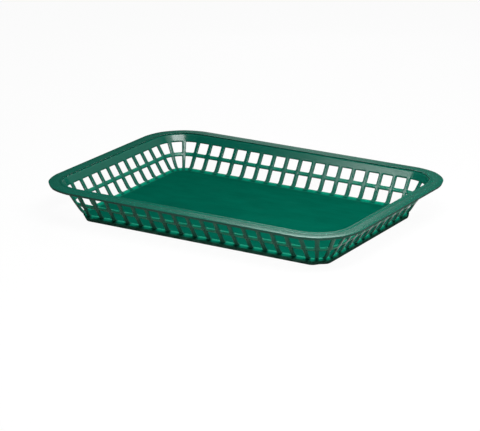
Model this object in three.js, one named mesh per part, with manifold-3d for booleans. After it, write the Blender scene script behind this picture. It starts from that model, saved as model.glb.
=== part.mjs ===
// A moulded serving basket: a solid floor, a leaning lattice wall and a broad flat rim.
// Millimetres, Z up. The origin is on the table, under the middle of the basket.
import * as THREE from 'three';
import { mergeVertices } from 'three/addons/utils/BufferGeometryUtils.js';
import Module from 'manifold-3d';

const wasm = await Module();
wasm.setup();

// Plan. The straight walls are divided into even window bays, and round corners join them.
const overallLength = 298.2;
const overallWidth = 217.5;
const longWallBays = 16;
const shortWallBays = 10;
const cornerBays = 3;
const cornerFacets = 12;

// Heights, each counted from the one before it, from the table up.
const footHeight = 2.7;
const floorThickness = 1.5;
const sillHeight = 1.4;
const lowerWindowHeight = 10.0;
const railHeight = 2.7;
const upperWindowHeight = 8.4;
const collarHeight = 5.2;
const flangeThickness = 1.5;
const ridgeHeight = 0.6;

// Wall. Radii are counted from the centre of a corner, or from the line that joins two such centres.
const footRadius = 11.4;
const footEdgeHeight = 1.1;
const footLedgeWidth = 2.0;
const wallLean = 0.63;
const wallThickness = 1.5;
const ribWidth = 3.75;
const ribRelief = 0.7;
const cornerRibFootWidth = 2.6;
const railThickness = 0.8;

// Rim.
const flangeReach = 10.7;
const ridgeWidth = 1.6;
const lipThickness = 1.7;
const lipDrop = 0.9;
const lipRound = 1.2;
const arcDivisions = 3;

// Clearance at the faces where two pieces meet on a slope or an edge.
const seamGap = 0.3;

// Finish of the moulding.
const mouldedGreen = 0x0b6450;
const mouldedRoughness = 0.38;
const mouldedMetalness = 0.0;

// Levels and lengths worked out from the sizes above.
const floorTop = footHeight + floorThickness;
const sillTop = floorTop + sillHeight;
const railBottom = sillTop + lowerWindowHeight;
const railTop = railBottom + railHeight;
const windowTop = railTop + upperWindowHeight;
const collarTop = windowTop + collarHeight;
const flangeTop = collarTop + flangeThickness;
const slant = Math.hypot(1, wallLean);
const wallSpan = wallThickness * slant;
const ribSpan = (wallThickness + ribRelief) * slant;
const railSpan = railThickness * slant;
const rimRadius = wallOuter(collarTop) + flangeReach;
const halfLong = overallLength / 2 - rimRadius;
const halfShort = overallWidth / 2 - rimRadius;
const quarterTurn = Math.PI / 2;

// The four walls turn counter-clockwise from the right-hand end, seen from above.
const walls = [
  { name: 'right', offset: halfLong, length: 2 * halfShort, bays: shortWallBays },
  { name: 'back', offset: halfShort, length: 2 * halfLong, bays: longWallBays },
  { name: 'left', offset: halfLong, length: 2 * halfShort, bays: shortWallBays },
  { name: 'front', offset: halfShort, length: 2 * halfLong, bays: longWallBays },
];

// Each corner follows the wall of the same number, in the same turn.
const corners = [
  { name: 'back_right', x: halfLong, y: halfShort },
  { name: 'back_left', x: -halfLong, y: halfShort },
  { name: 'front_left', x: -halfLong, y: -halfShort },
  { name: 'front_right', x: halfLong, y: -halfShort },
];

// Radius of the wall's outer face at a height, above the upright edge of the foot.
function wallOuter(height) {
  return footRadius + wallLean * (height - footEdgeHeight);
}

// Radius of the wall's inner face at a height.
function wallInner(height) {
  return wallOuter(height) - wallSpan;
}

function point(radius, height) {
  return new THREE.Vector2(radius, height);
}

// A ring of one section round the whole basket. The section turns counter-clockwise in radius and height.
function ringGeometry(section) {
  const stations = [];
  corners.forEach((corner, turn) => {
    for (let facet = 0; facet <= cornerFacets; facet += 1) {
      const angle = quarterTurn * (turn + facet / cornerFacets);
      stations.push({ x: corner.x, y: corner.y, angle });
    }
  });
  const positions = [];
  const indices = [];
  const count = section.length;
  stations.forEach((station, row) => {
    const nextRow = (row + 1) % stations.length;
    section.forEach((spot, column) => {
      const nextColumn = (column + 1) % count;
      positions.push(station.x + spot.x * Math.cos(station.angle));
      positions.push(station.y + spot.x * Math.sin(station.angle));
      positions.push(spot.y);
      const here = row * count + column;
      const beside = nextRow * count + column;
      const above = row * count + nextColumn;
      const across = nextRow * count + nextColumn;
      indices.push(here, beside, across, here, across, above);
    });
  });
  const geometry = new THREE.BufferGeometry();
  geometry.setAttribute('position', new THREE.Float32BufferAttribute(positions, 3));
  geometry.setIndex(indices);
  geometry.computeVertexNormals();
  return geometry;
}

// A section in radius and height, run along a wall for a length: X points outwards and Y along the wall.
function barGeometry(section, length) {
  const geometry = new THREE.ExtrudeGeometry(new THREE.Shape(section), {
    depth: length,
    bevelEnabled: false,
  });
  geometry.translate(0, 0, -length / 2);
  geometry.rotateX(quarterTurn);
  return geometry;
}

// A rib whose width changes evenly from the sill to the collar.
function ribGeometry(section, footWidth, headWidth) {
  const geometry = barGeometry(section, 1);
  const position = geometry.attributes.position;
  for (let index = 0; index < position.count; index += 1) {
    const rise = (position.getZ(index) - sillTop) / (windowTop - sillTop);
    const width = THREE.MathUtils.lerp(footWidth, headWidth, rise);
    position.setY(index, position.getY(index) * width);
  }
  return geometry;
}

function toSolid(geometry) {
  const bare = geometry.clone();
  bare.deleteAttribute('normal');
  bare.deleteAttribute('uv');
  const merged = mergeVertices(bare);
  return new wasm.Manifold(new wasm.Mesh({
    numProp: 3,
    vertProperties: new Float32Array(merged.attributes.position.array),
    triVerts: new Uint32Array(merged.index.array),
  }));
}

function toGeometry(solid) {
  const mesh = solid.getMesh();
  const geometry = new THREE.BufferGeometry();
  geometry.setAttribute('position', new THREE.BufferAttribute(mesh.vertProperties, 3));
  geometry.setIndex(new THREE.BufferAttribute(mesh.triVerts, 1));
  geometry.computeVertexNormals();
  return geometry;
}

// The foot that the basket stands on, with a ledge inside it for the floor, up to the windows' sill.
function footSection() {
  const seat = wallInner(floorTop);
  return [
    point(seat - footLedgeWidth, 0),
    point(footRadius, 0),
    point(footRadius, footEdgeHeight),
    point(wallOuter(sillTop), sillTop),
    point(wallInner(sillTop), sillTop),
    point(seat, floorTop),
    point(seat, footHeight),
    point(seat - footLedgeWidth, footHeight),
  ];
}

// The solid band between the windows and the rim.
function collarSection() {
  return [
    point(wallInner(windowTop), windowTop),
    point(wallOuter(windowTop), windowTop),
    point(wallOuter(collarTop), collarTop),
    point(wallInner(collarTop), collarTop),
  ];
}

// The flat rim, with a rounded ridge along its inner edge and a lip turned down along its outer edge.
function rimSection() {
  const lipInner = rimRadius - lipThickness;
  const lipBottom = collarTop - lipDrop;
  const ridgeMiddle = wallInner(flangeTop) + ridgeWidth / 2;
  const outline = new THREE.Shape();
  outline.moveTo(wallInner(collarTop), collarTop);
  outline.lineTo(lipInner, collarTop);
  outline.lineTo(lipInner, lipBottom);
  outline.lineTo(rimRadius, lipBottom);
  outline.absarc(rimRadius - lipRound, flangeTop - lipRound, lipRound, 0, quarterTurn, false);
  outline.absellipse(ridgeMiddle, flangeTop, ridgeWidth / 2, ridgeHeight, 0, Math.PI, false);
  return outline.getPoints(arcDivisions);
}

// The rail between the two rows of windows lies in the inner part of the wall, behind the ribs.
function railSection() {
  return [
    point(wallInner(railBottom), railBottom),
    point(wallInner(railBottom) + railSpan, railBottom),
    point(wallInner(railTop) + railSpan, railTop),
    point(wallInner(railTop), railTop),
  ];
}

// A plain rib, and one with a notch in its inner face that the rail lies in.
function ribSection(notched) {
  const outline = [
    point(wallInner(sillTop), sillTop),
    point(wallInner(sillTop) + ribSpan, sillTop),
    point(wallInner(windowTop) + ribSpan, windowTop),
    point(wallInner(windowTop), windowTop),
  ];
  if (notched) {
    const depth = railSpan + seamGap;
    outline.push(
      point(wallInner(railTop), railTop),
      point(wallInner(railTop) + depth, railTop),
      point(wallInner(railBottom) + depth, railBottom),
      point(wallInner(railBottom), railBottom),
    );
  }
  return outline;
}

// The floor is a flat panel inside the wall's foot.
function floorGeometry() {
  const radius = wallInner(floorTop) - seamGap;
  const outline = new THREE.Shape();
  corners.forEach((corner, turn) => {
    outline.absarc(corner.x, corner.y, radius, quarterTurn * turn, quarterTurn * (turn + 1), false);
  });
  return new THREE.ExtrudeGeometry(outline, {
    depth: floorThickness,
    bevelEnabled: false,
    curveSegments: cornerFacets / 2,
  });
}

// One corner of the lattice: a fan of ribs on a quarter turn of rail, with a straight rib at each end.
function cornerGeometry() {
  const closedSection = [...railSection(), railSection()[0]];
  const railRing = new THREE.LatheGeometry(closedSection, 4 * cornerFacets);
  railRing.rotateX(quarterTurn);
  const quarter = new THREE.BoxGeometry(rimRadius, rimRadius, 2 * rimRadius);
  quarter.translate(rimRadius / 2, rimRadius / 2, 0);
  let solid = toSolid(railRing).intersect(toSolid(quarter));
  for (let bay = 0; bay <= cornerBays; bay += 1) {
    const atEnd = bay === 0 || bay === cornerBays;
    const footWidth = atEnd ? ribWidth : cornerRibFootWidth;
    const rib = ribGeometry(ribSection(false), footWidth, ribWidth);
    rib.rotateZ(quarterTurn * bay / cornerBays);
    solid = solid.add(toSolid(rib));
  }
  return toGeometry(solid);
}

const basket = new THREE.Group();

function addPiece(parent, name, geometry) {
  const material = new THREE.MeshStandardMaterial({
    color: mouldedGreen,
    roughness: mouldedRoughness,
    metalness: mouldedMetalness,
  });
  const piece = new THREE.Mesh(geometry, material);
  piece.name = name;
  parent.add(piece);
  return piece;
}

addPiece(basket, 'base_band', ringGeometry(footSection()));
addPiece(basket, 'floor_panel', floorGeometry()).position.z = footHeight;
addPiece(basket, 'collar_band', ringGeometry(collarSection()));
addPiece(basket, 'rim_flange', ringGeometry(rimSection()));

// Each straight wall has its rail and the ribs between the two end ribs, which belong to the corners.
walls.forEach((wall, turn) => {
  const side = new THREE.Group();
  side.rotation.z = quarterTurn * turn;
  basket.add(side);
  const railLength = wall.length - ribWidth - 2 * seamGap;
  const rail = addPiece(side, `middle_rail_${wall.name}`, barGeometry(railSection(), railLength));
  rail.position.x = wall.offset;
  for (let bay = 1; bay < wall.bays; bay += 1) {
    const name = `rib_${wall.name}_${String(bay).padStart(2, '0')}`;
    const rib = addPiece(side, name, ribGeometry(ribSection(true), ribWidth, ribWidth));
    rib.position.set(wall.offset, (bay / wall.bays - 0.5) * wall.length, 0);
  }
});

corners.forEach((corner, turn) => {
  const piece = addPiece(basket, `corner_lattice_${corner.name}`, cornerGeometry());
  piece.position.set(corner.x, corner.y, 0);
  piece.rotation.z = quarterTurn * turn;
});

export default basket;
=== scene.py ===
"""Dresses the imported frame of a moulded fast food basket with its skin, finishes, light and camera."""

import math

import bmesh
import bpy
from mathutils import Matrix, Vector


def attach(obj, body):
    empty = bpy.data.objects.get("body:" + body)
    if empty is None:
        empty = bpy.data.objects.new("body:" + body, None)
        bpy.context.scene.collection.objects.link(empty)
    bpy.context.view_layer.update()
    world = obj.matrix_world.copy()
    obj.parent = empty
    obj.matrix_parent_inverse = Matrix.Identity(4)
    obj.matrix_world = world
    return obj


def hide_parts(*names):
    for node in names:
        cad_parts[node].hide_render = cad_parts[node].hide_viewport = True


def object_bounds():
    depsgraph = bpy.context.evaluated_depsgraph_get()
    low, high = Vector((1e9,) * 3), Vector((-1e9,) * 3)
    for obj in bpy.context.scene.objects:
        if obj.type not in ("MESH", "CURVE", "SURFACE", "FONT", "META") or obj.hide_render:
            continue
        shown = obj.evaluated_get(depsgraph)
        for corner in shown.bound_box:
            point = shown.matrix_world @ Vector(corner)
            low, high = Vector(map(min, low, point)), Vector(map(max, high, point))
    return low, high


bl_info = {
    "name": "Fast food basket",
    "version": (1, 0, 0),
    "blender": (4, 5, 0),
    "location": "3D View > Sidebar > Basket",
    "description": "Makes the skin of a moulded serving basket round its packed frame",
    "category": "Add Mesh",
}

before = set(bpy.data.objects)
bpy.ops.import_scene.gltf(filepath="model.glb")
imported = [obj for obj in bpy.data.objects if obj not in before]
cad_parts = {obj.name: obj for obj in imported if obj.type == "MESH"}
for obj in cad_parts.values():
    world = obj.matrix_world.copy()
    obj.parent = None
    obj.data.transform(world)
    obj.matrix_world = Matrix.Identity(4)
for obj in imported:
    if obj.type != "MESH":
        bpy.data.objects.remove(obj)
CAD_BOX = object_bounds()

MM = 0.001
QUARTER_TURN = math.pi / 2
BODY = "root"

# The photograph's width and focal length in pixels, and a sensor's width in millimetres.
PHOTO_WIDTH = 480
PHOTO_FOCAL = 2231.0
SENSOR_WIDTH = 36.0

# The camera as fitted to the basket's lattice: its turn from the front, its rise and its roll, and where the
# basket's origin is as seen from it.
CAMERA_AZIMUTH = math.radians(31.44)
CAMERA_ELEVATION = math.radians(18.14)
CAMERA_ROLL = math.radians(-0.14)
CAMERA_OFFSET = Vector((5.18, -1.27, -1912.7)) * MM

# Starts of the names of the nodes that the lattice wall stands for.
WALL_PREFIXES = ("rib_", "middle_rail_", "corner_lattice_", "collar_band")


def length(label, description, millimetres):
    """A size in metres that a user may change."""
    return bpy.props.FloatProperty(
        name=label,
        description=description,
        default=millimetres * MM,
        unit="LENGTH",
        precision=5,
    )


def colour(label, description, value):
    """A linear colour that a user may change."""
    return bpy.props.FloatVectorProperty(
        name=label,
        description=description,
        subtype="COLOR",
        size=4,
        min=0.0,
        max=1.0,
        default=(*value, 1.0),
    )


class BasketSizes(bpy.types.PropertyGroup):
    """Sizes of the moulding. Its plan, counts and heights agree with the frame."""

    rim_radius: length("Rim radius", "Radius of the rim's outer corners", 41.504)
    long_bays: bpy.props.IntProperty(name="Long bays", description="Bays on a long wall", default=16)
    short_bays: bpy.props.IntProperty(name="Short bays", description="Bays on a short wall", default=10)
    corner_bays: bpy.props.IntProperty(name="Corner bays", description="Bays on a corner", default=3)
    wall_foot: length("Wall foot", "Corner radius of the wall's middle at the ground", 9.816)
    wall_lean: bpy.props.FloatProperty(
        name="Wall lean", description="Outward step of the wall for each step up", default=0.6287
    )
    rib_width: length("Rib width", "Widest part of a rib, at its parting line", 3.7)
    rib_face: length("Rib face", "Width of a rib's flat face", 2.7)
    inner_depth: length("Inner depth", "From the wall's middle to its inner face", 0.95)
    rib_depth: length("Rib depth", "From the wall's middle to a rib's outer face", 1.05)
    rail_depth: length("Rail depth", "From the wall's middle to the rail's outer face", 0.85)
    window_round: length("Window rounding", "Distance over which a window's corner turns", 1.15)
    corner_taper: bpy.props.FloatProperty(
        name="Corner taper",
        description="Rib width at the foot of a corner, as a share",
        default=0.69,
        min=0.0,
        max=1.0,
        subtype="FACTOR",
    )
    foot_tuck: length("Foot tuck", "How far the foot draws in at the middle of a corner", 2.8)
    tuck_height: length("Tuck height", "Height under which a corner draws in", 9.0)
    sill_crest: length("Sill crest", "Height of the lower windows' sill at the wall's middle", 5.5)
    rail_bottom: length("Rail bottom", "Height of the rail's lower edge at the wall's middle", 15.15)
    rail_top: length("Rail top", "Height of the rail's upper edge at the wall's middle", 18.05)
    window_top: length("Window top", "Height of the upper windows' top at the wall's middle", 26.6)
    floor_top: length("Floor top", "Height of the floor's upper face", 4.2)
    floor_under: length("Floor underside", "Height of the floor's lower face", 2.7)
    floor_edge: length("Floor edge", "Corner radius where the floor meets the foot", 9.2)
    smoothing: bpy.props.IntProperty(name="Smoothing", description="Subdivision level", default=1)


class BasketColours(bpy.types.PropertyGroup):
    """Colours of the plastic and the stage."""

    floor_green: colour("Floor green", "Plastic of the floor", (0.0004, 0.080, 0.050))
    wall_green: colour("Wall green", "Plastic of the lattice and the band above it", (0.0014, 0.090, 0.059))
    # Painted glow: a brighter green on the sills, the rail tops and the foot's outer strip stands in for
    # light that comes through the thin plastic.
    painted_glow_green: colour("Painted glow green", "Painted glow on thin edges that let light through", (0.0006, 0.225, 0.135))
    rim_green: colour("Rim green", "Plastic of the rim", (0.0020, 0.098, 0.064))
    # Painted shade: the lip and the rim's underside take a darker green that stands in for the shade under
    # the rim's edge.
    painted_shade_green: colour("Painted shade green", "Painted shade on the lip under the rim's edge", (0.0090, 0.062, 0.046))
    # The scuff green serves the rubbed patches, and also the pale tint low on the foot, which paints its
    # grey sheen along with wear.
    scuff_and_sheen_green: colour("Scuff and sheen green", "Pale rubbed plastic, also painted sheen low on the foot", (0.120, 0.260, 0.215))
    ground: colour("Ground", "Pale table top", (0.80, 0.80, 0.80))


# Node helpers.


def join(tree, value, socket):
    """Links a socket, or sets a plain value."""
    if isinstance(value, bpy.types.NodeSocket):
        tree.links.new(value, socket)
    else:
        socket.default_value = value


def add_node(tree, kind, inputs=None, **settings):
    """Adds a node, sets its options and joins its inputs by name or number."""
    node = tree.nodes.new(kind)
    for key, value in settings.items():
        setattr(node, key, value)
    for key, value in (inputs or {}).items():
        join(tree, value, node.inputs[key])
    return node


def reckon(tree, operation, first, second=0.0):
    """One step of arithmetic."""
    return add_node(tree, "ShaderNodeMath", {0: first, 1: second}, operation=operation).outputs[0]


def ramp(tree, value, start, end, low, high):
    """A straight ramp that stays level outside its span."""
    names = {"Value": value, "From Min": start, "From Max": end, "To Min": low, "To Max": high}
    return add_node(tree, "ShaderNodeMapRange", names).outputs["Result"]


def blend_of(tree, share, first, second):
    """A mix of two numbers, by the float sockets of a Mix node."""
    return add_node(tree, "ShaderNodeMix", {0: share, 2: first, 3: second}).outputs[0]


# Geometry Nodes: one bay of the moulding, repeated and bent round the basket.

BAY_TREE = "Bays round the basket"

# Least share of a quarter turn by which a bay counts as part of a corner.
LEAST_TURN = 0.01

# Share of a bay at its window's middle, past which the bay mirrors its first half.
HALF_BAY = 0.5

# Distance under which points of neighbouring bays become one.
WELD = 0.01 * MM

BAY_INPUTS = (
    ("Half long", "NodeSocketFloat"),
    ("Half short", "NodeSocketFloat"),
    ("Long bays", "NodeSocketInt"),
    ("Short bays", "NodeSocketInt"),
    ("Corner bays", "NodeSocketInt"),
    ("Pitch", "NodeSocketFloat"),
    ("Held share", "NodeSocketFloat"),
    ("Corner taper", "NodeSocketFloat"),
    ("Taper foot", "NodeSocketFloat"),
    ("Taper top", "NodeSocketFloat"),
    ("Foot tuck", "NodeSocketFloat"),
    ("Tuck height", "NodeSocketFloat"),
    ("Smoothing", "NodeSocketInt"),
    ("Finish", "NodeSocketMaterial"),
)


def wall_spans(tree, sizes):
    """Running bay counts at which each straight wall and each corner ends, from the right wall on."""
    ends = [0.0]
    for name in ("Short bays", "Corner bays", "Long bays", "Corner bays") * 2:
        ends.append(reckon(tree, "ADD", ends[-1], sizes[name]))
    return list(zip(ends[:-1], ends[1:]))


def turns_at(tree, spans, place):
    """Quarter turns made by the corners before a place on the path."""
    turns = 0.0
    for start, end in spans[1::2]:
        turns = reckon(tree, "ADD", turns, ramp(tree, place, start, end, 0.0, 1.0))
    return turns


def bent_place(tree, spans, sizes, place, radius, height):
    """Bends a place on the path, at a corner radius and a height, into the basket's plan."""
    long_step = reckon(tree, "MULTIPLY", sizes["Half long"], 2.0)
    short_step = reckon(tree, "MULTIPLY", sizes["Half short"], 2.0)
    right, back, left, front = spans[0::2]
    x = reckon(tree, "SUBTRACT", sizes["Half long"], ramp(tree, place, *back, 0.0, long_step))
    x = reckon(tree, "ADD", x, ramp(tree, place, *front, 0.0, long_step))
    y = reckon(tree, "SUBTRACT", ramp(tree, place, *right, 0.0, short_step), sizes["Half short"])
    y = reckon(tree, "SUBTRACT", y, ramp(tree, place, *left, 0.0, short_step))
    angle = reckon(tree, "MULTIPLY", turns_at(tree, spans, place), QUARTER_TURN)
    corner = reckon(tree, "POWER", reckon(tree, "SINE", reckon(tree, "MULTIPLY", angle, 2.0)), 2.0)
    # The foot draws in most at the middle of a corner, and nothing does above the tuck height.
    low = ramp(tree, height, 0.0, sizes["Tuck height"], sizes["Foot tuck"], 0.0)
    radius = reckon(tree, "SUBTRACT", radius, reckon(tree, "MULTIPLY", corner, low))
    across = reckon(tree, "MULTIPLY", radius, reckon(tree, "COSINE", angle))
    along = reckon(tree, "MULTIPLY", radius, reckon(tree, "SINE", angle))
    point = {"X": reckon(tree, "ADD", x, across), "Y": reckon(tree, "ADD", y, along), "Z": height}
    return add_node(tree, "ShaderNodeCombineXYZ", point).outputs[0]


def held_share(tree, spans, sizes, bay, share, radius, height):
    """Moves a point along its bay so that ribs keep their width where corner bays are narrow."""
    before = turns_at(tree, spans, bay)
    after = turns_at(tree, spans, reckon(tree, "ADD", bay, 1.0))
    turned = reckon(tree, "SUBTRACT", after, before)
    at_corner = reckon(tree, "GREATER_THAN", turned, LEAST_TURN)
    arc = reckon(tree, "MULTIPLY", radius, reckon(tree, "MULTIPLY", turned, QUARTER_TURN))
    width = blend_of(tree, at_corner, sizes["Pitch"], arc)
    thinned = ramp(tree, height, sizes["Taper foot"], sizes["Taper top"], sizes["Corner taper"], 1.0)
    thinned = blend_of(tree, at_corner, 1.0, thinned)
    scale = reckon(tree, "DIVIDE", reckon(tree, "MULTIPLY", sizes["Pitch"], thinned), width)
    mirrored = reckon(tree, "SUBTRACT", 1.0, share)
    nearest = reckon(tree, "MINIMUM", share, mirrored)
    near = reckon(tree, "MULTIPLY", nearest, scale)
    edge = reckon(tree, "MULTIPLY", sizes["Held share"], scale)
    far = ramp(tree, nearest, sizes["Held share"], HALF_BAY, edge, HALF_BAY)
    beyond = reckon(tree, "GREATER_THAN", nearest, sizes["Held share"])
    moved = blend_of(tree, beyond, near, far)
    second_half = reckon(tree, "GREATER_THAN", share, HALF_BAY)
    turned_back = reckon(tree, "SUBTRACT", 1.0, moved)
    return blend_of(tree, second_half, moved, turned_back)


def bay_tree():
    """Builds the tree that repeats one bay round the basket, joins the bays and smooths them."""
    tree = bpy.data.node_groups.new(BAY_TREE, "GeometryNodeTree")
    tree.interface.new_socket("Geometry", in_out="INPUT", socket_type="NodeSocketGeometry")
    for name, kind in BAY_INPUTS:
        tree.interface.new_socket(name, in_out="INPUT", socket_type=kind)
    tree.interface.new_socket("Geometry", in_out="OUTPUT", socket_type="NodeSocketGeometry")
    sizes = tree.nodes.new("NodeGroupInput").outputs
    spans = wall_spans(tree, sizes)
    step = Vector((1.0, 0.0, 0.0))
    total = spans[-1][1]
    line = add_node(tree, "GeometryNodeMeshLine", {"Count": total, "Offset": step}, mode="OFFSET")
    index = tree.nodes.new("GeometryNodeInputIndex").outputs[0]
    numbered = add_node(
        tree,
        "GeometryNodeStoreNamedAttribute",
        {"Geometry": line.outputs[0], "Name": "bay", "Value": index},
        data_type="FLOAT",
        domain="POINT",
    )
    placed = add_node(
        tree,
        "GeometryNodeInstanceOnPoints",
        {"Points": numbered.outputs[0], "Instance": sizes["Geometry"]},
    )
    loose = add_node(tree, "GeometryNodeRealizeInstances", {"Geometry": placed.outputs[0]})
    bay = add_node(tree, "GeometryNodeInputNamedAttribute", {"Name": "bay"}, data_type="FLOAT").outputs[0]
    position = tree.nodes.new("GeometryNodeInputPosition").outputs[0]
    spot = add_node(tree, "ShaderNodeSeparateXYZ", {0: position}).outputs
    share = reckon(tree, "SUBTRACT", spot["X"], bay)
    radius = spot["Y"]
    height = spot["Z"]
    moved = held_share(tree, spans, sizes, bay, share, radius, height)
    place = reckon(tree, "ADD", bay, moved)
    point = bent_place(tree, spans, sizes, place, radius, height)
    bent = add_node(tree, "GeometryNodeSetPosition", {"Geometry": loose.outputs[0], "Position": point})
    joined = add_node(
        tree,
        "GeometryNodeMergeByDistance",
        {"Geometry": bent.outputs[0], "Distance": WELD},
    )
    crease = add_node(tree, "GeometryNodeInputNamedAttribute", {"Name": "crease_edge"}, data_type="FLOAT")
    smooth = add_node(
        tree,
        "GeometryNodeSubdivisionSurface",
        {"Mesh": joined.outputs[0], "Level": sizes["Smoothing"], "Edge Crease": crease.outputs[0]},
    )
    whole = add_node(tree, "GeometryNodeRealizeInstances", {"Geometry": smooth.outputs[0]})
    finish = add_node(
        tree,
        "GeometryNodeSetMaterial",
        {"Geometry": whole.outputs[0], "Material": sizes["Finish"]},
    )
    result = tree.nodes.new("NodeGroupOutput")
    tree.links.new(finish.outputs[0], result.inputs[0])
    return tree


def plan_of(sizes):
    """Half distances between the corner centres, and the length of a bay on the long wall."""
    low, high = CAD_BOX
    half_long = (high[0] - low[0]) / 2 - sizes.rim_radius
    half_short = (high[1] - low[1]) / 2 - sizes.rim_radius
    return half_long, half_short, 2 * half_long / sizes.long_bays


# How far past a window's rounded corner points still keep their distance from the rib.
HELD_MARGIN = 0.35 * MM


def held_width(sizes):
    """Distance from a rib's middle line within which points keep their place."""
    return sizes.rib_width / 2 + sizes.window_round + HELD_MARGIN


def repeat_round(context, name, cell, material):
    """Makes a piece from one bay's mesh with the tree, as a plain closed mesh."""
    sizes = context.scene.basket_sizes
    half_long, half_short, pitch = plan_of(sizes)
    values = {
        "Half long": half_long,
        "Half short": half_short,
        "Long bays": sizes.long_bays,
        "Short bays": sizes.short_bays,
        "Corner bays": sizes.corner_bays,
        "Pitch": pitch,
        "Held share": held_width(sizes) / pitch,
        "Corner taper": sizes.corner_taper,
        "Taper foot": sizes.sill_crest,
        "Taper top": sizes.window_top,
        "Foot tuck": sizes.foot_tuck,
        "Tuck height": sizes.tuck_height,
        "Smoothing": sizes.smoothing,
        "Finish": material,
    }
    tree = bpy.data.node_groups.get(BAY_TREE) or bay_tree()
    sockets = {item.name: item.identifier for item in tree.interface.items_tree if item.in_out == "INPUT"}
    piece = bpy.data.objects.new(name, cell)
    context.scene.collection.objects.link(piece)
    modifier = piece.modifiers.new("Round the basket", "NODES")
    modifier.node_group = tree
    for key, value in values.items():
        modifier[sockets[key]] = value
    graph = context.evaluated_depsgraph_get()
    whole = bpy.data.meshes.new_from_object(
        piece.evaluated_get(graph), preserve_all_data_layers=True, depsgraph=graph
    )
    piece.modifiers.clear()
    piece.data = whole
    whole.name = name
    tidy_mesh(whole)
    return piece


# Least mark at both ends of an edge that lies on a seam, after smoothing has blurred the marks.
SEAM_MARK = 0.6


def tidy_mesh(mesh):
    """Turns faces outwards, shades them smooth and keeps the seams sharp."""
    edit = bmesh.new()
    edit.from_mesh(mesh)
    bmesh.ops.recalc_face_normals(edit, faces=edit.faces)
    open_edges = [edge for edge in edit.edges if not edge.is_manifold]
    if open_edges:
        raise RuntimeError(f"{mesh.name} has {len(open_edges)} open edges")
    seam = edit.verts.layers.float["seam"]
    for face in edit.faces:
        face.smooth = True
    for edge in edit.edges:
        edge.smooth = min(vertex[seam] for vertex in edge.verts) < SEAM_MARK
    edit.to_mesh(mesh)
    edit.free()
    for name in ("bay", "crease_edge", "seam"):
        layer = mesh.attributes.get(name)
        if layer:
            mesh.attributes.remove(layer)


# The bay's own mesh. Its X is a share of the bay, its Y a corner radius and its Z a height.


class Bay:
    """Collects the points, faces, creases and marks of painted light of one bay."""

    def __init__(self):
        self.mesh = bmesh.new()
        self.painted_light = self.mesh.verts.layers.float.new("painted_light_mark")
        self.seam = self.mesh.verts.layers.float.new("seam")
        self.crease = self.mesh.edges.layers.float.new("crease_edge")

    def point(self, share, radius, height, painted_light=0.0):
        """One point with its mark."""
        vertex = self.mesh.verts.new((share, radius, height))
        vertex[self.painted_light] = painted_light
        return vertex

    def strip(self, first, second, closed=False):
        """Faces between two rows of points."""
        count = len(first) if closed else len(first) - 1
        for index in range(count):
            after = (index + 1) % len(first)
            self.mesh.faces.new((first[index], first[after], second[after], second[index]))

    def sharpen(self, row):
        """Keeps the edges along a row sharp."""
        for vertex in row:
            vertex[self.seam] = 1.0
        for start, end in zip(row[:-1], row[1:]):
            edge = self.mesh.edges.get((start, end))
            edge[self.crease] = 1.0

    def finished(self, name):
        """The bay as a mesh."""
        mesh = bpy.data.meshes.new(name)
        self.mesh.to_mesh(mesh)
        self.mesh.free()
        return mesh


def columns(sizes):
    """Shares of a bay with columns: rib middle, rib face edge, window corner, window middle and back."""
    pitch = plan_of(sizes)[2]
    face = sizes.rib_face / 2 / pitch
    corner = held_width(sizes) / pitch
    return [0.0, face, corner, HALF_BAY, 1 - corner, 1 - face, 1.0]


# Which columns belong to a rib.
RIB_COLUMNS = (1, 1, 0, 0, 0, 1, 1)


def wall_at(sizes, height, depth):
    """Corner radius at a height, at a depth from the wall's middle that is measured square to the wall."""
    return sizes.wall_foot + sizes.wall_lean * height + depth * math.hypot(1.0, sizes.wall_lean)


def square_to_wall(sizes, height, depth):
    """Corner radius and height of a point that lies at a depth square to a height of the wall's middle."""
    lean = math.atan(sizes.wall_lean)
    radius = sizes.wall_foot + sizes.wall_lean * height + depth * math.cos(lean)
    return radius, height - depth * math.sin(lean)


def ring_cell(sizes, name, section, all_round=False):
    """One bay of a closed ring, marked between ribs or all round.

    A section point is radius, height, mark, rib relief, and whether its line stays sharp.
    """
    bay = Bay()
    rows = []
    for radius, height, painted_light, relief, _ in section:
        row = [
            bay.point(share, radius + relief * on_rib, height, painted_light if all_round or not on_rib else 0.0)
            for share, on_rib in zip(columns(sizes), RIB_COLUMNS)
        ]
        rows.append(row)
    for index, row in enumerate(rows):
        bay.strip(row, rows[(index + 1) % len(rows)])
    for row, (*_, sharp) in zip(rows, section):
        if sharp:
            bay.sharpen(row)
    return bay.finished(name)


# Smoothing draws a pair of control points one part in so many towards the row beside it.
SMOOTHING_PARTS = 6


def edge_control(limit, face):
    """Place of a pair of control points, beside a face's own, that smoothing brings to the wanted limit."""
    return (SMOOTHING_PARTS * limit - face) / (SMOOTHING_PARTS - 1)


def relief_of(sizes):
    """Horizontal step from the rail's outer face to a rib's."""
    return (sizes.rib_depth - sizes.rail_depth) * math.hypot(1.0, sizes.wall_lean)


# Seams of the wall with the sill under its windows: radius and height in millimetres, and mark of painted
# glow.
INNER_SEAM = (11.35, 5.5, 1.0)
OUTER_SEAM = (13.2, 5.45, 1.0)

# Height of the wall's top, in millimetres.
WALL_TOP = 31.9

# The sill's crest inside and outside: radius and height in millimetres, and mark of painted glow.
SILL_CREST = ((11.8, 6.3, 1.0), (12.5, 6.2, 1.0))

# Depth of the two lines along a window's edge, from the wall's middle.
EDGE_DEPTHS = (-0.6 * MM, 0.55 * MM)

# How far a rail's face stops short of its edge, and how many times that the band's second row lies up.
FACE_INSET = 0.4 * MM
BAND_INSETS = 3

# Marks of painted glow inside and outside: on plain rows, and on the rail's lower and upper rows.
UNMARKED = (0.0, 0.0)
RAIL_LOWER_MARKS = (0.35, 0.45)
RAIL_UPPER_MARKS = (0.5, 1.0)


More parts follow.
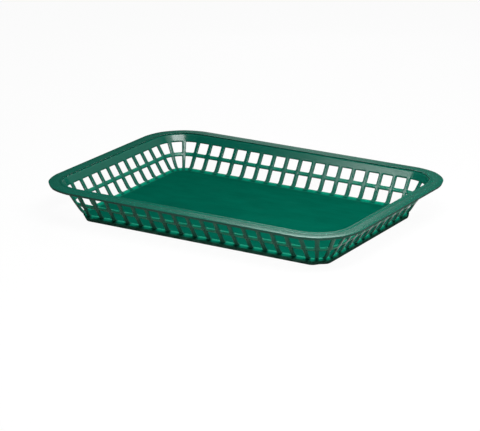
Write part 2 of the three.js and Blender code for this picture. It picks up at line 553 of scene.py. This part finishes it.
def lattice_rows(sizes):
    """Rows of the wall above the sill: height at the wall's middle, and marks inside and outside."""
    turn = sizes.window_round
    return [
        (sizes.sill_crest + turn, UNMARKED),
        ((sizes.sill_crest + sizes.rail_bottom) / 2, UNMARKED),
        (sizes.rail_bottom - turn, UNMARKED),
        (sizes.rail_bottom + FACE_INSET, RAIL_LOWER_MARKS),
        (sizes.rail_top - FACE_INSET, RAIL_UPPER_MARKS),
        (sizes.rail_top + turn, UNMARKED),
        (sizes.window_top - turn, UNMARKED),
        (sizes.window_top + FACE_INSET, UNMARKED),
        (sizes.window_top + BAND_INSETS * FACE_INSET, UNMARKED),
        ((sizes.window_top + WALL_TOP * MM) / 2, UNMARKED),
    ]


def wall_face(sizes, seam, depth, rise):
    """One face of the wall as rows of radius, height and mark, from the seam with the sill to the rim."""
    outside = depth > 0
    radius, height, painted_light = seam
    face = [(radius * MM + rise, height * MM, painted_light)]
    for height, marks in lattice_rows(sizes):
        face.append((*square_to_wall(sizes, height, depth), marks[outside]))
    top = WALL_TOP * MM
    return face + [(wall_at(sizes, top, depth), top, 0.0)]


# Rows between which each window opens, and the columns that bound it.
WINDOW_ROWS = ((0, 4), (5, 8))
WINDOW_COLUMNS = (1, 5)


def window_loop(rows):
    """Row and column of each point round a window, from its lower left corner."""
    low, high = rows
    left, right = WINDOW_COLUMNS
    bottom = [(low, column) for column in range(left, right + 1)]
    side = [(row, right) for row in range(low + 1, high)]
    top = [(high, column) for column in range(right, left - 1, -1)]
    return bottom + side + top + [(row, left) for row in range(high - 1, low, -1)]


def in_window(row, column):
    """Whether a cell of the mesh is open."""
    left, right = WINDOW_COLUMNS
    return left <= column < right and any(low <= row < high for low, high in WINDOW_ROWS)


def lattice_cell(sizes):
    """One bay of the wall: a rib's two halves, the sill, the rail and the band round two rounded windows."""
    bay = Bay()
    shares = columns(sizes)
    inner = wall_face(sizes, INNER_SEAM, -sizes.inner_depth, 0.0)
    plain = wall_face(sizes, OUTER_SEAM, sizes.rail_depth, 0.0)
    raised = wall_face(sizes, OUTER_SEAM, sizes.rib_depth, relief_of(sizes))
    layers = []
    for between, on_ribs in ((inner, inner), (plain, raised)):
        layer = []
        for open_place, rib_place in zip(between, on_ribs):
            row = []
            for share, on_rib in zip(shares, RIB_COLUMNS):
                radius, height, painted_light = rib_place if on_rib else open_place
                row.append(bay.point(share, radius, height, 0.0 if on_rib else painted_light))
            layer.append(row)
        layers.append(layer)
    for layer in layers:
        for row in range(len(layer) - 1):
            for column in range(len(shares) - 1):
                if not in_window(row, column):
                    bay.strip(layer[row][column : column + 2], layer[row + 1][column : column + 2])
    for row in (0, -1):
        bay.strip(layers[0][row], layers[1][row])
    limits = ((sizes.sill_crest, sizes.rail_bottom), (sizes.rail_top, sizes.window_top))
    for rows, ends in zip(WINDOW_ROWS, limits):
        loop = window_loop(rows)
        rings = [
            window_ring(bay, sizes, loop, dict(zip(rows, ends)), depth, crest)
            for depth, crest in zip(EDGE_DEPTHS, SILL_CREST)
        ]
        for layer, ring in zip(layers, rings):
            bay.strip([layer[row][column] for row, column in loop], ring, closed=True)
        bay.strip(*rings, closed=True)
    for layer in layers:
        bay.sharpen(layer[0])
        bay.sharpen(layer[-1])
    return bay.finished("lattice bay")


def window_ring(bay, sizes, loop, ends, depth, crest):
    """One line of points along a window's edge: at a depth in the wall, or on the sill's crest."""
    crest_radius, crest_height, crest_mark = crest
    shares = columns(sizes)
    heights = [height for height, _ in lattice_rows(sizes)]
    edge = edge_control(sizes.rib_width / 2, sizes.rib_face / 2) / plan_of(sizes)[2]
    sides = dict(zip(WINDOW_COLUMNS, (edge, 1 - edge)))
    ring = []
    for row, column in loop:
        if row == 0:
            radius, height = crest_radius * MM, crest_height * MM
        else:
            level = heights[row - 1]
            if row in ends:
                level = edge_control(ends[row], level)
            radius, height = square_to_wall(sizes, level, depth)
        painted_mark = crest_mark if row == min(ends) and column not in sides else 0.0
        ring.append(bay.point(sides.get(column, shares[column]), radius, height, painted_mark))
    return ring


# Section of the foot from the outer seam down, under and up to the floor's lower face: radius and height in
# millimetres, mark of painted glow, and share of the ribs' relief.
FOOT_POINTS = (
    (13.6, 4.5, 1.0, 1.0),
    (13.72, 3.6, 0.8, 1.0),
    (13.5, 2.8, 0.25, 1.0),
    (13.4, 2.0, 0.0, 0.9),
    (13.15, 1.1, 0.0, 0.6),
    (12.85, 0.35, 0.0, 0.2),
    (12.4, 0.0, 0.0, 0.0),
    (11.5, 0.0, 0.0, 0.0),
    (10.3, 0.0, 0.0, 0.0),
    (9.85, 0.2, 0.0, 0.0),
    (9.65, 0.9, 0.0, 0.0),
    (9.55, 2.2, 0.0, 0.0),
    (9.35, 2.6, 0.0, 0.0),
)

# The sill's slope from the floor's upper face up to the inner seam, in the same terms.
SILL_POINTS = (
    (10.2, 4.25, 0.25, 0.0),
    (10.9, 4.75, 0.7, 0.0),
)


def foot_section(sizes):
    """Closed section of the foot ring and the sill on it, in metres, with the lines that stay sharp."""
    edge = sizes.floor_edge / MM
    points = [
        (*INNER_SEAM, 0.0, True),
        (*OUTER_SEAM, 1.0, True),
        *((*point, False) for point in FOOT_POINTS),
        (edge, sizes.floor_under / MM, 0.0, 0.0, True),
        (edge, sizes.floor_top / MM, 0.0, 0.0, True),
        *((*point, False) for point in SILL_POINTS),
    ]
    relief = relief_of(sizes)
    section = []
    for radius, height, painted_light, share, sharp in points:
        section.append((radius * MM, height * MM, painted_light, share * relief, sharp))
    return section


# Section of the rim from the wall's inner edge through the undercut, over the ridge and along the slightly
# domed flange: radius and height in millimetres.
RIM_TOP_POINTS = (
    (29.05, 32.4),
    (29.35, 32.8),
    (29.8, 32.98),
    (30.75, 33.08),
    (30.85, 33.5),
    (30.45, 33.72),
    (29.75, 33.8),
    (29.65, 33.93),
    (29.85, 34.0),
    (30.4, 34.0),
    (31.1, 34.0),
    (31.5, 33.8),
    (31.85, 33.48),
    (32.6, 33.4),
    (34.5, 33.52),
    (36.4, 33.6),
    (38.3, 33.54),
    (40.1, 33.42),
    (41.1, 33.33),
    (41.42, 33.2),
)

# The lip and the rim's underside, back to the wall, which take the darker green of painted shade.
LIP_POINTS = (
    (41.504, 32.97),
    (41.38, 32.67),
    (40.95, 31.58),
    (40.78, 31.12),
    (40.55, 31.0),
    (40.2, 31.12),
    (39.7, 31.5),
    (38.4, 31.8),
    (36.0, 31.9),
    (34.0, 31.92),
    (32.4, 31.92),
)


def rim_section(sizes):
    """Closed section of the rim, which stands on the wall's top."""
    height = WALL_TOP * MM
    inner = (wall_at(sizes, height, -sizes.inner_depth), height, 0.0, 0.0, True)
    outer = (wall_at(sizes, height, sizes.rail_depth), height, 0.0, relief_of(sizes), True)
    points = [(radius * MM, level * MM, 0.0, 0.0, False) for radius, level in RIM_TOP_POINTS]
    # The lip's points carry a full mark, which paints them with the darker green of painted shade.
    points += [(radius * MM, level * MM, 1.0, 0.0, False) for radius, level in LIP_POINTS]
    return [inner, *points, outer]


# Shader groups and finishes.


def new_group(name, inputs, outputs):
    """An empty shader group with named sockets."""
    group = bpy.data.node_groups.new(name, "ShaderNodeTree")
    for label, kind, default in inputs:
        socket = group.interface.new_socket(label, in_out="INPUT", socket_type=kind)
        socket.default_value = default
    for label, kind in outputs:
        group.interface.new_socket(label, in_out="OUTPUT", socket_type=kind)
    start = group.nodes.new("NodeGroupInput")
    end = group.nodes.new("NodeGroupOutput")
    return group, start.outputs, end.inputs


def noise(tree, scale, detail=2.0, roughness=0.5, stretch=None):
    """Noise on object coordinates, stretched along an axis where wanted."""
    place = tree.nodes.new("ShaderNodeTexCoord").outputs["Object"]
    if stretch:
        place = add_node(tree, "ShaderNodeMapping", {"Vector": place, "Scale": stretch}).outputs[0]
    node = add_node(
        tree,
        "ShaderNodeTexNoise",
        {"Vector": place, "Scale": scale, "Detail": detail, "Roughness": roughness},
    )
    return node.outputs["Fac"]


def mixed(tree, share, first, second):
    """A mix of two colours."""
    node = add_node(tree, "ShaderNodeMix", data_type="RGBA")
    join(tree, share, node.inputs["Factor"])
    join(tree, first, node.inputs["A"])
    join(tree, second, node.inputs["B"])
    return node.outputs["Result"]


# Streaks that the plastic left as it flowed into the mould run along the basket.
STREAK_STRETCH = (0.35, 1.0, 1.0)

# Scales of the plastic's noises, in waves to the metre.
BROAD_SCALE = 28.0
CLOUD_SCALE = 190.0
FLOW_SCALE = 120.0
RUB_SCALE = 75.0
SPECK_SCALE = 900.0
GRAIN_SCALE = 1500.0
RIPPLE_SCALE = 130.0
SHEEN_AND_WEAR_SCALE = 260.0

# Values of noise between which rubbed patches, their specks and the patches of the foot's painted sheen and
# wear set in.
RUB_SPAN = (0.56, 0.78)
SPECK_SPAN = (0.45, 0.75)
SHEEN_AND_WEAR_SPAN = (0.35, 0.65)

# Middle value of a noise, and how much stronger the colour's level swings than the noise does.
NOISE_MIDDLE = 0.5
LEVEL_SWING = 2.0

# Shares of broad and cloudy noise in the drift of colour, and of grain and ripple in the relief.
BROAD_SHARE = 0.65
CLOUD_SHARE = 0.35
GRAIN_SHARE = 0.35
RIPPLE_SHARE = 0.65

# Roughness that a fully rubbed spot adds.
SCUFF_ROUGHNESS = 0.3

# Roughness of the wall's foot and of marked edges.
MATT = 0.9

# Share of pale tint on the edge that the basket stands on, which paints its sheen along with wear, and the
# least part of it in any place.
SHEEN_AND_WEAR = 0.5
LEAST_SHEEN_AND_WEAR = 0.7


def off_middle(tree, value, amount):
    """How far a noise is off its middle value, times an amount."""
    return reckon(tree, "MULTIPLY", reckon(tree, "SUBTRACT", value, NOISE_MIDDLE), amount)


def plastic_group():
    """Mottled moulded plastic: colour that drifts a little, fine mould grain and rubbed patches."""
    name = "Moulded plastic"
    if name in bpy.data.node_groups:
        return bpy.data.node_groups[name]
    group, given, wanted = new_group(
        name,
        (
            ("Colour", "NodeSocketColor", (0.0, 0.1, 0.07, 1.0)),
            ("Scuff colour", "NodeSocketColor", (0.1, 0.2, 0.2, 1.0)),
            ("Drift", "NodeSocketFloat", 0.2),
            ("Streaks", "NodeSocketFloat", 0.1),
            ("Scuffs", "NodeSocketFloat", 0.2),
            ("Gloss", "NodeSocketFloat", 0.4),
            ("Gloss drift", "NodeSocketFloat", 0.1),
        ),
        (("Colour", "NodeSocketColor"), ("Roughness", "NodeSocketFloat"), ("Height", "NodeSocketFloat")),
    )
    broad = reckon(group, "MULTIPLY", noise(group, BROAD_SCALE, detail=3.0), BROAD_SHARE)
    cloudy = noise(group, CLOUD_SCALE)
    drift = reckon(group, "ADD", broad, reckon(group, "MULTIPLY", cloudy, CLOUD_SHARE))
    swing = off_middle(group, drift, given["Drift"])
    flow = noise(group, FLOW_SCALE, stretch=STREAK_STRETCH)
    swing = reckon(group, "ADD", swing, off_middle(group, flow, given["Streaks"]))
    level = reckon(group, "ADD", 1.0, reckon(group, "MULTIPLY", swing, LEVEL_SWING))
    tinted = add_node(group, "ShaderNodeVectorMath", {0: given["Colour"], 1: level}, operation="MULTIPLY")
    patches = noise(group, RUB_SCALE, detail=4.0, roughness=0.6)
    rubbed = ramp(group, patches, *RUB_SPAN, 0.0, 1.0)
    specks = ramp(group, noise(group, SPECK_SCALE), *SPECK_SPAN, 0.0, 1.0)
    scuffed = reckon(group, "MULTIPLY", reckon(group, "MULTIPLY", rubbed, specks), given["Scuffs"])
    join(group, mixed(group, scuffed, tinted.outputs[0], given["Scuff colour"]), wanted["Colour"])
    uneven = off_middle(group, cloudy, given["Gloss drift"])
    rough = reckon(group, "ADD", given["Gloss"], uneven)
    rough = reckon(group, "ADD", rough, reckon(group, "MULTIPLY", scuffed, SCUFF_ROUGHNESS))
    join(group, rough, wanted["Roughness"])
    grain = reckon(group, "MULTIPLY", noise(group, GRAIN_SCALE, detail=1.0), GRAIN_SHARE)
    ripple = reckon(group, "MULTIPLY", noise(group, RIPPLE_SCALE), RIPPLE_SHARE)
    join(group, reckon(group, "ADD", grain, ripple), wanted["Height"])
    return group


def low_down(tree, span, amount):
    """An amount that fades out upwards between two heights."""
    place = tree.nodes.new("ShaderNodeTexCoord").outputs["Object"]
    height = add_node(tree, "ShaderNodeSeparateXYZ", {0: place}).outputs["Z"]
    return ramp(tree, height, *span, amount, 0.0)


def plastic(name, body, edge, scuff_and_sheen, look):
    """A finish: the shared plastic group, its own gloss, and a second colour on marked edges, which paints a
    glow on thin edges and shade on the rim's lip.
    """
    material = bpy.data.materials.new(name)
    material.use_nodes = True
    tree = material.node_tree
    shader = tree.nodes["Principled BSDF"]
    group = add_node(tree, "ShaderNodeGroup", node_tree=plastic_group())
    base = tuple(body)
    # Marked edges take a second colour, which paints light: a glow on the thin edges of the wall and foot,
    # and shade on the rim's lip.
    if edge:
        painted_mark = add_node(tree, "ShaderNodeAttribute", attribute_name="painted_light_mark").outputs["Fac"]
        base = mixed(tree, painted_mark, base, tuple(edge))
    join(tree, base, group.inputs["Colour"])
    group.inputs["Scuff colour"].default_value = tuple(scuff_and_sheen)
    for key in ("Drift", "Streaks", "Scuffs", "Gloss", "Gloss drift"):
        group.inputs[key].default_value = look[key]
    bump = add_node(tree, "ShaderNodeBump", {"Strength": look["Bump"], "Distance": look["Bump height"]})
    tree.links.new(group.outputs["Height"], bump.inputs["Height"])
    tone = group.outputs["Colour"]
    # Painted sheen and wear: a pale tint low on the foot stands in for its grey sheen, as well as for wear
    # where it stands.
    if "Sheen and wear foot" in look:
        patchy = ramp(tree, noise(tree, SHEEN_AND_WEAR_SCALE), *SHEEN_AND_WEAR_SPAN, LEAST_SHEEN_AND_WEAR, 1.0)
        sheen_and_wear = reckon(tree, "MULTIPLY", patchy, low_down(tree, look["Sheen and wear foot"], SHEEN_AND_WEAR))
        tone = mixed(tree, sheen_and_wear, tone, tuple(scuff_and_sheen))
    tree.links.new(tone, shader.inputs["Base Color"])
    rough = group.outputs["Roughness"]
    if "Matt foot" in look:
        rough = reckon(tree, "MAXIMUM", rough, low_down(tree, look["Matt foot"], MATT))
    if edge:
        rough = reckon(tree, "MAXIMUM", rough, reckon(tree, "MULTIPLY", painted_mark, MATT))
    tree.links.new(rough, shader.inputs["Roughness"])
    tree.links.new(bump.outputs[0], shader.inputs["Normal"])
    shader.inputs["Specular IOR Level"].default_value = look["Reflection"]
    return material


# Looks of the four finishes. The foot's pale tint of painted sheen and wear, and a matt foot, fade out
# between two heights.
FLOOR_LOOK = {
    "Drift": 0.10,
    "Streaks": 0.22,
    "Scuffs": 0.05,
    "Gloss": 0.70,
    "Gloss drift": 0.10,
    "Bump": 0.25,
    "Bump height": 0.10 * MM,
    "Reflection": 0.0,
}
FOOT_LOOK = {
    "Drift": 0.10,
    "Streaks": 0.10,
    "Scuffs": 0.05,
    "Gloss": 0.60,
    "Gloss drift": 0.10,
    "Bump": 0.15,
    "Bump height": 0.10 * MM,
    "Reflection": 0.0,
    "Sheen and wear foot": (1.2 * MM, 4.6 * MM),
}
WALL_LOOK = {
    "Drift": 0.14,
    "Streaks": 0.10,
    "Scuffs": 0.04,
    "Gloss": 0.22,
    "Gloss drift": 0.06,
    "Bump": 0.02,
    "Bump height": 0.12 * MM,
    "Reflection": 0.30,
    "Matt foot": (7.0 * MM, 17.0 * MM),
}
RIM_LOOK = {
    "Drift": 0.12,
    "Streaks": 0.12,
    "Scuffs": 0.03,
    "Gloss": 0.26,
    "Gloss drift": 0.06,
    "Bump": 0.02,
    "Bump height": 0.12 * MM,
    "Reflection": 0.40,
}


def finish_piece(piece, nodes):
    """Rides the piece on the basket's body, in place of its nodes."""
    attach(piece, BODY)
    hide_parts(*nodes)


class BASKET_OT_foot(bpy.types.Operator):
    """Makes the ring that the basket stands on"""

    bl_idname = "basket.foot"
    bl_label = "Foot ring"
    bl_options = {"REGISTER", "UNDO"}

    def execute(self, context):
        sizes = context.scene.basket_sizes
        tints = context.scene.basket_colours
        look = plastic("Foot plastic", tints.floor_green, tints.painted_glow_green, tints.scuff_and_sheen_green, FOOT_LOOK)
        cell = ring_cell(sizes, "foot bay", foot_section(sizes))
        piece = repeat_round(context, "foot_ring", cell, look)
        finish_piece(piece, ["base_band"])
        return {"FINISHED"}


class BASKET_OT_lattice(bpy.types.Operator):
    """Makes the wall: sill, ribs, rail, two rows of windows and the plain band above them"""

    bl_idname = "basket.lattice"
    bl_label = "Lattice wall"
    bl_options = {"REGISTER", "UNDO"}

    def execute(self, context):
        sizes = context.scene.basket_sizes
        tints = context.scene.basket_colours
        look = plastic("Lattice plastic", tints.wall_green, tints.painted_glow_green, tints.scuff_and_sheen_green, WALL_LOOK)
        piece = repeat_round(context, "lattice_wall", lattice_cell(sizes), look)
        nodes = [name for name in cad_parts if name.startswith(WALL_PREFIXES)]
        finish_piece(piece, nodes)
        return {"FINISHED"}


class BASKET_OT_rim(bpy.types.Operator):
    """Makes the rim with its inner ridge and outer lip"""

    bl_idname = "basket.rim"
    bl_label = "Rim"
    bl_options = {"REGISTER", "UNDO"}

    def execute(self, context):
        sizes = context.scene.basket_sizes
        tints = context.scene.basket_colours
        look = plastic("Rim plastic", tints.rim_green, tints.painted_shade_green, tints.scuff_and_sheen_green, RIM_LOOK)
        cell = ring_cell(sizes, "rim bay", rim_section(sizes), all_round=True)
        piece = repeat_round(context, "rolled_rim", cell, look)
        finish_piece(piece, ["rim_flange"])
        return {"FINISHED"}


# Steps of the floor's edge on each corner, as many as the smoothed foot ring has.
FLOOR_STEPS = 36


def floor_outline(sizes, height):
    """Points of the floor's edge at a height, from the right wall on."""
    half_long, half_short, _ = plan_of(sizes)
    tuck = sizes.foot_tuck * (1 - height / sizes.tuck_height)
    points = []
    for turn, (side, end) in enumerate(((1, 1), (-1, 1), (-1, -1), (1, -1))):
        for step in range(FLOOR_STEPS + 1):
            angle = (turn + step / FLOOR_STEPS) * QUARTER_TURN
            radius = sizes.floor_edge - tuck * math.sin(2 * angle) ** 2
            x = side * half_long + radius * math.cos(angle)
            y = end * half_short + radius * math.sin(angle)
            points.append((x, y, height))
    return points


class BASKET_OT_floor(bpy.types.Operator):
    """Makes the flat floor"""

    bl_idname = "basket.floor"
    bl_label = "Floor"
    bl_options = {"REGISTER", "UNDO"}

    def execute(self, context):
        sizes = context.scene.basket_sizes
        tints = context.scene.basket_colours
        edit = bmesh.new()
        top = [edit.verts.new(point) for point in floor_outline(sizes, sizes.floor_top)]
        under = [edit.verts.new(point) for point in floor_outline(sizes, sizes.floor_under)]
        edit.faces.new(top)
        edit.faces.new(reversed(under))
        for index in range(len(top)):
            before = index - 1
            edit.faces.new((top[before], under[before], under[index], top[index]))
        bmesh.ops.recalc_face_normals(edit, faces=edit.faces)
        mesh = bpy.data.meshes.new("floor_plate")
        edit.to_mesh(mesh)
        edit.free()
        piece = bpy.data.objects.new("floor_plate", mesh)
        context.scene.collection.objects.link(piece)
        look = plastic("Floor plastic", tints.floor_green, None, tints.scuff_and_sheen_green, FLOOR_LOOK)
        mesh.materials.append(look)
        finish_piece(piece, ["floor_panel"])
        return {"FINISHED"}


# Stage: table, light and camera.

# Side of the table top, in metres.
GROUND_SIZE = 12.0

# Share of plain glow in the table: as the camera sees it, and as the basket's gloss mirrors it.
WHITE_SHARE = 0.95
MIRRORED_SHARE = 0.14

# A painted pool of light: the table beside the right wall is brighter in the gloss, which paints a sheen on
# that wall's ribs. Its share, and where it starts in X and Y.
BESIDE_SHARE = 0.9
BESIDE_X = (0.116, 0.126)
BESIDE_Y = (-0.075, -0.050)

# Colour of the light that the table bounces, of its glow in the gloss, and of its glow elsewhere.
UNSEEN_GROUND = (0.62, 0.60, 0.56, 1.0)
WARM_GROUND = (1.0, 0.88, 0.72, 1.0)
WHITE = (1.0, 1.0, 1.0, 1.0)

# Strength of the white room round the table.
WORLD_STRENGTH = 0.03


def ground_material(tint):
    """A pale table that the camera sees as white with the basket's shadow, and that bounces little light."""
    material = bpy.data.materials.new("Pale table")
    material.use_nodes = True
    tree = material.node_tree
    tree.nodes.clear()
    path = tree.nodes.new("ShaderNodeLightPath").outputs
    shown = path["Is Camera Ray"]
    place = tree.nodes.new("ShaderNodeTexCoord").outputs["Object"]
    spot = add_node(tree, "ShaderNodeSeparateXYZ", {0: place}).outputs
    # Painted pool of light beside the right wall, seen only in the gloss.
    right = ramp(tree, spot["X"], *BESIDE_X, 0.0, 1.0)
    beside = reckon(tree, "MULTIPLY", right, ramp(tree, spot["Y"], *BESIDE_Y, 0.0, 1.0))
    bright = ramp(tree, beside, 0.0, 1.0, MIRRORED_SHARE, BESIDE_SHARE)
    mirrored = reckon(tree, "MULTIPLY", path["Is Glossy Ray"], bright)
    share = reckon(tree, "ADD", reckon(tree, "MULTIPLY", shown, WHITE_SHARE), mirrored)
    tone = mixed(tree, shown, UNSEEN_GROUND, tuple(tint))
    matt = add_node(tree, "ShaderNodeBsdfDiffuse", {"Color": tone})
    plain = reckon(tree, "MAXIMUM", shown, beside)
    glow = mixed(tree, plain, WARM_GROUND, WHITE)
    white = add_node(tree, "ShaderNodeEmission", {"Color": glow, "Strength": 1.0})
    both = add_node(tree, "ShaderNodeMixShader", {0: share, 1: matt.outputs[0], 2: white.outputs[0]})
    end = tree.nodes.new("ShaderNodeOutputMaterial")
    tree.links.new(both.outputs[0], end.inputs["Surface"])
    return material


# Soft boxes: name, place, point aimed at, width, height, power in watts and spread in degrees.
SOFT_BOXES = (
    ("Key light", (0.312, -0.262, 0.595), (0.0, 0.0, 0.0), 0.48, 0.25, 7.0, 180),
    ("Right light", (0.58, 0.05, 0.74), (0.0, 0.0, 0.0), 0.6, 0.4, 1.9, 180),
    ("Back light", (-0.28, 0.55, 0.21), (0.0, 0.0, 0.03), 0.2, 0.14, 0.031, 180),
    ("Far light", (0.30, 0.55, 0.34), (0.0, 0.0, 0.03), 0.36, 0.26, 0.16, 180),
    ("Low light", (-0.28, 0.62, 0.08), (0.0, 0.1, 0.03), 0.32, 0.08, 0.05, 180),
    ("Rim light", (-0.25, 0.52, 0.55), (0.0, 0.0, 0.0), 0.2, 0.2, 1.3, 180),
    ("Left light", (-0.27, -0.42, 0.50), (0.13, 0.09, 0.03), 0.08, 0.2, 0.025, 30),
)


def lay_table(scene):
    """Puts the table top under the basket."""
    half = GROUND_SIZE / 2
    mesh = bpy.data.meshes.new("table_top")
    corners = [(-half, -half, 0.0), (half, -half, 0.0), (half, half, 0.0), (-half, half, 0.0)]
    mesh.from_pydata(corners, [], [(0, 1, 2, 3)])
    mesh.materials.append(ground_material(scene.basket_colours.ground))
    ground = bpy.data.objects.new("table_top", mesh)
    scene.collection.objects.link(ground)


def hang_soft_boxes(scene):
    """Hangs the lamps, each turned to the point that it aims at."""
    for name, place, aim, width, height, power, spread in SOFT_BOXES:
        lamp = bpy.data.lights.new(name, "AREA")
        lamp.shape = "RECTANGLE"
        lamp.size = width
        lamp.size_y = height
        lamp.energy = power
        lamp.spread = math.radians(spread)
        holder = bpy.data.objects.new(name, lamp)
        holder.location = place
        holder.rotation_euler = (Vector(aim) - Vector(place)).to_track_quat("-Z", "Y").to_euler()
        scene.collection.objects.link(holder)


def soft_room():
    """A dim white room."""
    world = bpy.data.worlds.new("Soft room")
    world.use_nodes = True
    sky = world.node_tree.nodes["Background"]
    sky.inputs["Color"].default_value = WHITE
    sky.inputs["Strength"].default_value = WORLD_STRENGTH
    return world


class BASKET_OT_stage(bpy.types.Operator):
    """Sets the pale table, the soft light and the photograph's camera"""

    bl_idname = "basket.stage"
    bl_label = "Stage"
    bl_options = {"REGISTER", "UNDO"}

    def execute(self, context):
        scene = context.scene
        lay_table(scene)
        hang_soft_boxes(scene)
        scene.world = soft_room()
        scene.view_settings.view_transform = "Standard"
        camera = photo_camera()
        scene.collection.objects.link(camera)
        scene.camera = camera
        return {"FINISHED"}


def photo_camera():
    """The camera of the photograph."""
    lens = bpy.data.cameras.new("Photo camera")
    lens.sensor_fit = "HORIZONTAL"
    lens.sensor_width = SENSOR_WIDTH
    lens.lens = PHOTO_FOCAL / PHOTO_WIDTH * SENSOR_WIDTH
    flat = math.cos(CAMERA_ELEVATION)
    back = Vector(
        (math.sin(CAMERA_AZIMUTH) * flat, -math.cos(CAMERA_AZIMUTH) * flat, math.sin(CAMERA_ELEVATION))
    )
    right = Vector((math.cos(CAMERA_AZIMUTH), math.sin(CAMERA_AZIMUTH), 0.0))
    turn = Matrix.Rotation(-CAMERA_ROLL, 3, "Z") @ Matrix((right, back.cross(right), back))
    camera = bpy.data.objects.new("Photo camera", lens)
    place = turn.transposed() @ -CAMERA_OFFSET
    camera.matrix_world = Matrix.Translation(place) @ turn.transposed().to_4x4()
    return camera


class BASKET_PT_panel(bpy.types.Panel):
    """Lists the basket's pieces, sizes and colours"""

    bl_idname = "BASKET_PT_panel"
    bl_label = "Fast food basket"
    bl_space_type = "VIEW_3D"
    bl_region_type = "UI"
    bl_category = "Basket"

    def draw(self, context):
        for operator in OPERATORS:
            self.layout.operator(operator.bl_idname)
        for group in (context.scene.basket_sizes, context.scene.basket_colours):
            for key in group.bl_rna.properties.keys():
                if key not in ("rna_type", "name"):
                    self.layout.prop(group, key)


OPERATORS = (
    BASKET_OT_foot,
    BASKET_OT_lattice,
    BASKET_OT_rim,
    BASKET_OT_floor,
    BASKET_OT_stage,
)
CLASSES = (BasketSizes, BasketColours, *OPERATORS, BASKET_PT_panel)


def register():
    """Registers the classes and gives the scene its sizes and colours."""
    for item in CLASSES:
        bpy.utils.register_class(item)
    bpy.types.Scene.basket_sizes = bpy.props.PointerProperty(type=BasketSizes)
    bpy.types.Scene.basket_colours = bpy.props.PointerProperty(type=BasketColours)


def unregister():
    """Undoes what register does."""
    del bpy.types.Scene.basket_colours
    del bpy.types.Scene.basket_sizes
    for item in reversed(CLASSES):
        bpy.utils.unregister_class(item)


def main():
    """Makes the basket and its stage."""
    register()
    bpy.ops.basket.foot()
    bpy.ops.basket.lattice()
    bpy.ops.basket.rim()
    bpy.ops.basket.floor()
    bpy.ops.basket.stage()


if __name__ == "__main__":
    main()
